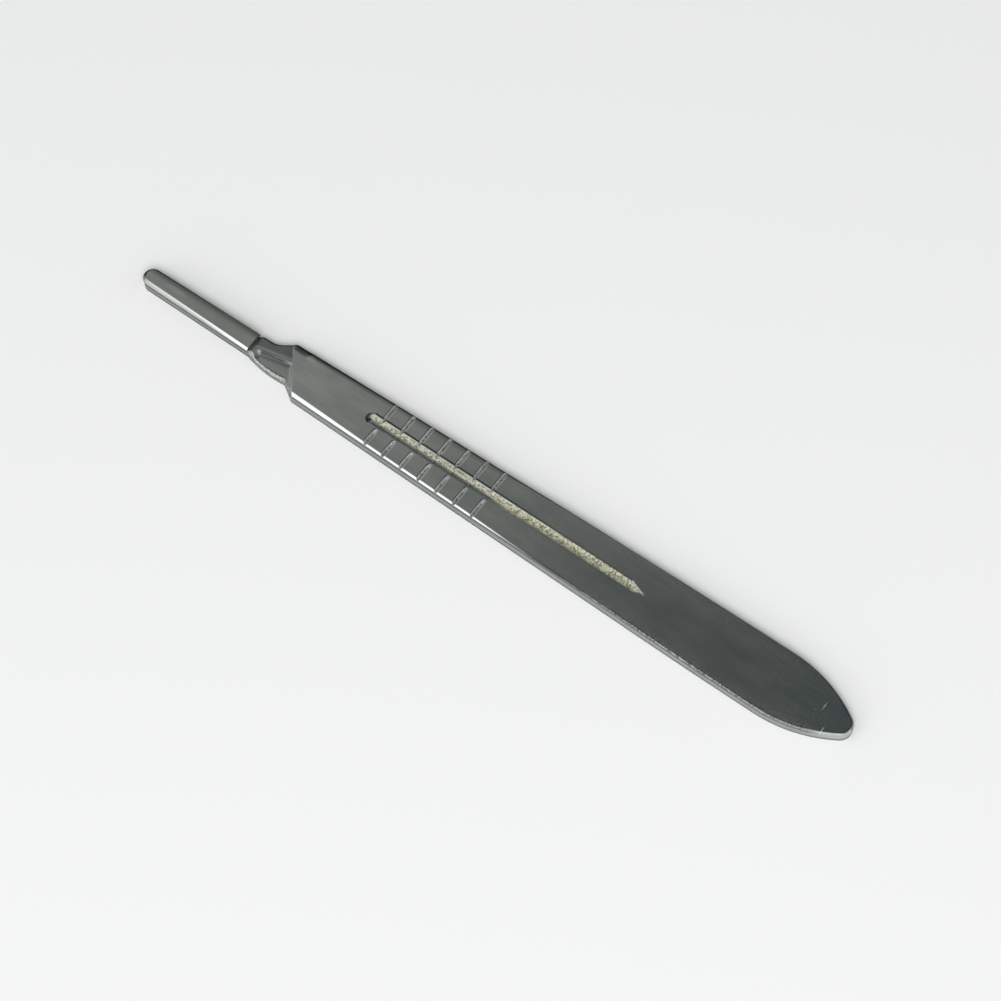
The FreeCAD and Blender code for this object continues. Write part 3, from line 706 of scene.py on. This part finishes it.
# Each mark: its place along and across, its half length and half width, and its strength.
MARKS = ((132.45, 0.9, 0.12, 0.95, 1.0), (134.35, -2.7, 0.12, 0.85, 1.0), (131.6, -0.4, 0.09, 0.10, 0.7),
         (6.3, 0.15, 2.6, 0.55, 0.35), (34.5, 1.6, 2.2, 0.5, 0.12), (38.0, -0.9, 2.8, 0.45, 0.10),
         (23.6, -0.9, 0.9, 0.9, 0.65))
MARK_HEIGHT = 2.3
MARK_HALF_HEIGHT = 2.5
scratched = rim.outputs[0]
for along, across, half_length, half_width, strength in MARKS:
    near_mark = nodes.new("ShaderNodeVectorMath")
    near_mark.operation = "SUBTRACT"
    links.new(place, near_mark.inputs[0])
    near_mark.inputs[1].default_value = ((along + start_x) * MM, across * MM, MARK_HEIGHT * MM)
    scaled = nodes.new("ShaderNodeVectorMath")
    scaled.operation = "MULTIPLY"
    links.new(near_mark.outputs[0], scaled.inputs[0])
    scaled.inputs[1].default_value = (1 / (half_length * MM), 1 / (half_width * MM),
                                      1 / (MARK_HALF_HEIGHT * MM))
    from_mark = nodes.new("ShaderNodeVectorMath")
    from_mark.operation = "LENGTH"
    links.new(scaled.outputs[0], from_mark.inputs[0])
    shape = nodes.new("ShaderNodeMath")
    shape.operation = "MULTIPLY"
    links.new(fit(from_mark.outputs["Value"], 0.55, 1.0, strength, 0.0), shape.inputs[0])
    links.new(fit(grain, 0.35, 0.55, 0.5, 1.0), shape.inputs[1])
    both = nodes.new("ShaderNodeMath")
    both.operation = "MAXIMUM"
    links.new(scratched, both.inputs[0])
    links.new(shape.outputs[0], both.inputs[1])
    scratched = both.outputs[0]
face_colour = blend(scratched, face_colour, SCRATCH)
pressed = fit(carried_value("pressed"), 0.05, 0.5, 0.0, 1.0)
line_colour = blend(fit(speck, 0.38, 0.54, 0.0, 1.0), LINE_GREY, LINE_PALE)
colour = blend(bed, blend(pressed, face_colour, line_colour), bed_colour)
links.new(colour, shader.inputs["Base Color"])


def mixed(share, first, second):
    """As blend does for colours, for single values."""
    mix = nodes.new("ShaderNodeMix")
    links.new(share, mix.inputs["Factor"])
    for socket, value in ((mix.inputs[2], first), (mix.inputs[3], second)):
        if isinstance(value, float):
            socket.default_value = value
        else:
            links.new(value, socket)
    return mix.outputs[0]


roughness = mixed(dull_and_shade, fit(grain, 0.3, 0.7, 0.255, 0.285), DULL_ROUGHNESS)
roughness = mixed(scratched, roughness, SCRATCH_ROUGHNESS)
roughness = mixed(bed, mixed(pressed, roughness, LINE_ROUGHNESS), BED_ROUGHNESS)
links.new(mixed(bed, 1.0, BED_METALLIC), shader.inputs["Metallic"])
links.new(blend(dull_and_shade, FULL_TINT, HALF_TINT), shader.inputs["Specular Tint"])
links.new(roughness, shader.inputs["Roughness"])
bump = nodes.new("ShaderNodeBump")
bump.inputs["Strength"].default_value = GRAIN_BUMP
bump.inputs["Distance"].default_value = GRAIN_HEIGHT * MM
links.new(grain, bump.inputs["Height"])
rough_bump = nodes.new("ShaderNodeBump")
rough_bump.inputs["Distance"].default_value = BED_HEIGHT * MM
links.new(mixed(bed, pressed, bed), rough_bump.inputs["Strength"])
links.new(speck, rough_bump.inputs["Height"])
links.new(bump.outputs["Normal"], rough_bump.inputs["Normal"])
links.new(rough_bump.outputs["Normal"], shader.inputs["Normal"])
boss_mesh.materials.append(steel)

# The seven lines that roughen the grip are pressed across both faces by one tree. It finds the
# nearest line for each point and sinks the point as deep as that line goes there. No two lines
# are quite as wide, and on the near side they start a little away from the groove.
LINE_REACH = 0.36
LINE_DEPTH = 0.34
NEAR_LINE_START = 1.12
NEAR_LINE_FADE = 0.55
LINE_UNEVENNESS = 0.16
LINE_SEED = 3

pressing = bpy.data.node_groups.new("pressed_lines", "GeometryNodeTree")
tree_nodes = pressing.nodes
tree_links = pressing.links
pressing.interface.new_socket("Geometry", in_out="INPUT", socket_type="NodeSocketGeometry")
LINE_INPUTS = (("Count", "NodeSocketInt", LINE_COUNT),
               ("First", "NodeSocketFloat", (FIRST_LINE + start_x) * MM),
               ("Pitch", "NodeSocketFloat", LINE_PITCH * MM),
               ("Reach", "NodeSocketFloat", LINE_REACH * MM),
               ("Depth", "NodeSocketFloat", LINE_DEPTH * MM),
               ("Near Start", "NodeSocketFloat", NEAR_LINE_START * MM),
               ("Unevenness", "NodeSocketFloat", LINE_UNEVENNESS),
               ("Seed", "NodeSocketInt", LINE_SEED))
for name, kind, value in LINE_INPUTS:
    pressing.interface.new_socket(name, in_out="INPUT", socket_type=kind)
pressing.interface.new_socket("Material", in_out="INPUT", socket_type="NodeSocketMaterial")
pressing.interface.new_socket("Geometry", in_out="OUTPUT", socket_type="NodeSocketGeometry")
given = tree_nodes.new("NodeGroupInput").outputs


def maths(operation, *parts):
    step = tree_nodes.new("ShaderNodeMath")
    step.operation = operation
    for socket, part in zip(step.inputs, parts):
        if isinstance(part, (int, float)):
            socket.default_value = part
        else:
            tree_links.new(part, socket)
    return step.outputs[0]


position = tree_nodes.new("GeometryNodeInputPosition").outputs[0]
axes = tree_nodes.new("ShaderNodeSeparateXYZ")
tree_links.new(position, axes.inputs[0])
nearest = maths("ROUND", maths("DIVIDE", maths("SUBTRACT", axes.outputs[0], given["First"]), given["Pitch"]))
nearest = maths("MAXIMUM", maths("MINIMUM", nearest, maths("SUBTRACT", given["Count"], 1.0)), 0.0)
chance = tree_nodes.new("FunctionNodeRandomValue")
tree_links.new(nearest, chance.inputs["ID"])
tree_links.new(given["Seed"], chance.inputs["Seed"])
chance = [socket for socket in chance.outputs if socket.enabled][0]
spread_by = maths("MULTIPLY", given["Unevenness"], maths("SUBTRACT", chance, 0.5))
line_x = maths("ADD", given["First"], maths("MULTIPLY", nearest, given["Pitch"]))
away = maths("ABSOLUTE", maths("SUBTRACT", axes.outputs[0], line_x))
line_reach = maths("MULTIPLY", given["Reach"], maths("ADD", 1.0, spread_by))
share = maths("SUBTRACT", 1.0, maths("DIVIDE", away, line_reach))
soften = tree_nodes.new("ShaderNodeMapRange")
soften.interpolation_type = "SMOOTHSTEP"
tree_links.new(share, soften.inputs["Value"])
near_fade = tree_nodes.new("ShaderNodeMapRange")
tree_links.new(maths("MULTIPLY", axes.outputs[1], -1.0), near_fade.inputs["Value"])
tree_links.new(given["Near Start"], near_fade.inputs["From Min"])
tree_links.new(maths("ADD", given["Near Start"], NEAR_LINE_FADE * MM), near_fade.inputs["From Max"])
on_side = maths("MAXIMUM", near_fade.outputs["Result"], maths("GREATER_THAN", axes.outputs[1], 0.0))
depth = maths("MULTIPLY", maths("MULTIPLY", given["Depth"], soften.outputs["Result"]), on_side)


def stored(name):
    carrier = tree_nodes.new("GeometryNodeInputNamedAttribute")
    carrier.data_type = "FLOAT"
    carrier.inputs["Name"].default_value = name
    return [socket for socket in carrier.outputs if socket.enabled][0]


deeper = maths("MAXIMUM", maths("SUBTRACT", depth, maths("MULTIPLY", stored("sunk"), MM)), 0.0)
sink = tree_nodes.new("ShaderNodeCombineXYZ")
tree_links.new(maths("MULTIPLY", maths("MULTIPLY", deeper, stored("outward")), -1.0), sink.inputs[2])
moved = tree_nodes.new("GeometryNodeSetPosition")
tree_links.new(given["Geometry"], moved.inputs["Geometry"])
tree_links.new(sink.outputs[0], moved.inputs["Offset"])
marked = tree_nodes.new("GeometryNodeStoreNamedAttribute")
marked.data_type = "FLOAT"
marked.inputs["Name"].default_value = "pressed"
tree_links.new(moved.outputs[0], marked.inputs["Geometry"])
tree_links.new(maths("DIVIDE", deeper, given["Depth"]),
               [socket for socket in marked.inputs if socket.enabled and socket.name == "Value"][0])
real = tree_nodes.new("GeometryNodeRealizeInstances")
tree_links.new(marked.outputs[0], real.inputs[0])
dressed = tree_nodes.new("GeometryNodeSetMaterial")
tree_links.new(real.outputs[0], dressed.inputs["Geometry"])
tree_links.new(given["Material"], dressed.inputs["Material"])
tree_links.new(dressed.outputs[0], tree_nodes.new("NodeGroupOutput").inputs["Geometry"])

lines = bar.modifiers.new("lines", "NODES")
lines.node_group = pressing
identifiers = {item.name: item.identifier
               for item in pressing.interface.items_tree if item.in_out == "INPUT"}
for name, kind, value in LINE_INPUTS:
    lines[identifiers[name]] = value
lines[identifiers["Material"]] = steel
union = bar.modifiers.new("boss_on_bar", "BOOLEAN")
union.operation = "UNION"
union.solver = "EXACT"
union.object = boss

built = bpy.data.meshes.new_from_object(bar.evaluated_get(bpy.context.evaluated_depsgraph_get()))
bar.modifiers.clear()
bpy.data.objects.remove(boss)
bpy.data.objects.remove(bar)
SHARP_ANGLE = math.radians(38.0)
built.set_sharp_from_angle(angle=SHARP_ANGLE)

# The boss's colour: its near bevel is left bright, while painted shade darkens its top towards the
# far side, and its undercut, tip and far edge. The union mixes up what the boss's points carry, so
# it is set on the finished mesh.
CROWN_LEVEL = 2.8465
SLOT_ROOF = 2.425
BOSS_FOOT = 1.96
TOP_DULL = 0.16
TOP_FAR_PAINTED_SHADE = 0.5
UNDERCUT_PAINTED_SHADES = ((2.38, 1.0), (2.42, 0.75))
END_WALL = 0.03
END_WALL_DULL = 0.4

here = np.empty(len(built.vertices) * 3)
built.vertices.foreach_get("co", here)
here = here.reshape(-1, 3) / MM
dull_and_shade_values = np.empty(len(built.vertices))
built.attributes["dull_and_shade"].data.foreach_get("value", dull_and_shade_values)
along, across, up = here[:, 0] - start_x, here[:, 1], here[:, 2]
reach = np.interp(along, [BOSS_TIP_RADIUS, BOSS_END], [BOSS_TIP_RADIUS, BOSS_ROOT_REACH])
# Painted shade: the top darkens towards the far side, the far bevel and tip go dark, and so does the
# undercut.
top_dull_and_shade = TOP_DULL + TOP_FAR_PAINTED_SHADE * smooth_step((across / reach - 0.1) / 0.75)
bevel_dull_and_shade = smooth_step((across / reach + 0.65) / 0.4)
undercut_painted_shade = stepped(up, UNDERCUT_PAINTED_SHADES)
boss_dull_and_shade = np.where(up > CROWN_LEVEL, top_dull_and_shade, np.where(up > SLOT_ROOF, bevel_dull_and_shade, undercut_painted_shade))
boss_dull_and_shade = np.where(along > BOSS_END - END_WALL, np.minimum(boss_dull_and_shade, END_WALL_DULL), boss_dull_and_shade)
dull_and_shade_values = np.where((up > BOSS_FOOT) & (along < BOSS_END + 0.01), boss_dull_and_shade, dull_and_shade_values)
built.attributes["dull_and_shade"].data.foreach_set("value", dull_and_shade_values)
handle = bpy.data.objects.new("steel_handle", built)
bpy.context.scene.collection.objects.link(handle)

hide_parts("handle")
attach(handle, "root")

# The floor: one pale matt sheet that the handle lies on. It belongs to the picture only, so it
# is staged and not exported.
FLOOR_SIZE = 4.0
FLOOR_COLOUR = (0.9, 0.9, 0.9, 1.0)
FLOOR_ROUGHNESS = 0.9

floor_mesh = bpy.data.meshes.new("floor")
half = FLOOR_SIZE / 2
floor_mesh.from_pydata([(-half, -half, 0), (half, -half, 0), (half, half, 0), (-half, half, 0)],
                       [], [(0, 1, 2, 3)])
floor = bpy.data.objects.new("floor", floor_mesh)
bpy.context.scene.collection.objects.link(floor)
floor_paint = bpy.data.materials.new("floor_paint")
floor_paint.use_nodes = True
floor_shader = floor_paint.node_tree.nodes["Principled BSDF"]
floor_shader.inputs["Base Color"].default_value = FLOOR_COLOUR
floor_shader.inputs["Roughness"].default_value = FLOOR_ROUGHNESS
floor_mesh.materials.append(floor_paint)

# The studio: a dark ceiling, a bright band round the horizon, a wide white screen on the near
# side, one past the tail, and a dimmer one over the tongue's end, so the top of the handle
# darkens towards its tail.
world = bpy.data.worlds.new("studio")
bpy.context.scene.world = world
world.use_nodes = True
sky = world.node_tree.nodes
sky_links = world.node_tree.links
direction = sky.new("ShaderNodeTexCoord").outputs["Generated"]
# Each screen: its name, the way to it, the cosines of the angles from there at which it starts
# and at which it is full, and its colour.
SCREENS = (("horizon", (0.0, 0.0, -1.0), -0.35, -0.05, (0.35, 0.35, 0.35, 1.0)),
           ("near_screen", (0.0, -1.0, 0.2), 0.30, 0.6, (1.0, 1.0, 0.985, 1.0)),
           ("tail_screen", (0.93, 0.2, 0.3), 0.70, 0.92, (0.7, 0.7, 0.69, 1.0)),
           ("tongue_screen", (-0.75, 0.25, 0.61), 0.79, 0.88, (0.47, 0.46, 0.42, 1.0)))
CEILING = (0.012, 0.026, 0.033, 1.0)
total = None
for name, towards, dark_at, bright_at, colour in SCREENS:
    dot = sky.new("ShaderNodeVectorMath")
    dot.operation = "DOT_PRODUCT"
    dot.inputs[1].default_value = towards
    sky_links.new(direction, dot.inputs[0])
    edge = sky.new("ShaderNodeMapRange")
    edge.interpolation_type = "SMOOTHSTEP"
    edge.inputs["From Min"].default_value = dark_at
    edge.inputs["From Max"].default_value = bright_at
    sky_links.new(dot.outputs["Value"], edge.inputs["Value"])
    lit = sky.new("ShaderNodeMix")
    lit.data_type = "RGBA"
    lit.blend_type = "ADD"
    lit.label = name
    lit.inputs[7].default_value = colour
    sky_links.new(edge.outputs["Result"], lit.inputs["Factor"])
    if total is None:
        lit.inputs[6].default_value = CEILING
    else:
        sky_links.new(total, lit.inputs[6])
    total = lit.outputs[2]
sky_links.new(total, sky["Background"].inputs["Color"])
sky["Background"].inputs["Strength"].default_value = 1.0


# Two round softboxes point at the handle. The upper one only lights the floor and the rough
# steel: the ground faces don't mirror it.
SOFTBOX_SIZE = 0.6


def soft_light(name, power, stand):
    softbox = bpy.data.lights.new(name, "AREA")
    softbox.shape = "DISK"
    softbox.size = SOFTBOX_SIZE
    softbox.energy = power
    lamp = bpy.data.objects.new(name, softbox)
    bpy.context.scene.collection.objects.link(lamp)
    lamp.location = stand
    lamp.rotation_euler = (-Vector(stand)).to_track_quat("-Z", "Y").to_euler()
    return lamp


soft_light("near_softbox", 1.2, (-0.32, -1.05, 0.42))
upper = soft_light("upper_softbox", 8.2, (0.4, -0.6, 0.95))
upper.visible_glossy = False

# The camera: it looks down on the handle from the near side, with the tail towards it. Its
# angles, distance and focal length were fitted to the handle's outline.
IMAGE_SIZE = 1001
FOCAL_PIXELS = 3625.0
SENSOR = 36.0
VIEW_DISTANCE = 0.57396
VIEW_AZIMUTH = math.radians(35.78)
VIEW_ELEVATION = math.radians(62.14)
VIEW_ROLL = math.radians(0.377)
LOOKED_AT = Vector((0.001727, 0.001325, 0.0))

backward = Vector((math.sin(VIEW_AZIMUTH) * math.cos(VIEW_ELEVATION),
                   -math.cos(VIEW_AZIMUTH) * math.cos(VIEW_ELEVATION),
                   math.sin(VIEW_ELEVATION)))
camera_data = bpy.data.cameras.new("camera")
camera_data.sensor_width = SENSOR
camera_data.lens = FOCAL_PIXELS / IMAGE_SIZE * SENSOR
camera = bpy.data.objects.new("camera", camera_data)
bpy.context.scene.collection.objects.link(camera)
camera.location = LOOKED_AT + backward * VIEW_DISTANCE
camera.rotation_mode = "QUATERNION"
camera.rotation_quaternion = backward.to_track_quat("Z", "Y") @ Quaternion((0.0, 0.0, 1.0), VIEW_ROLL)
bpy.context.scene.camera = camera
bpy.context.scene.view_settings.view_transform = "Standard"
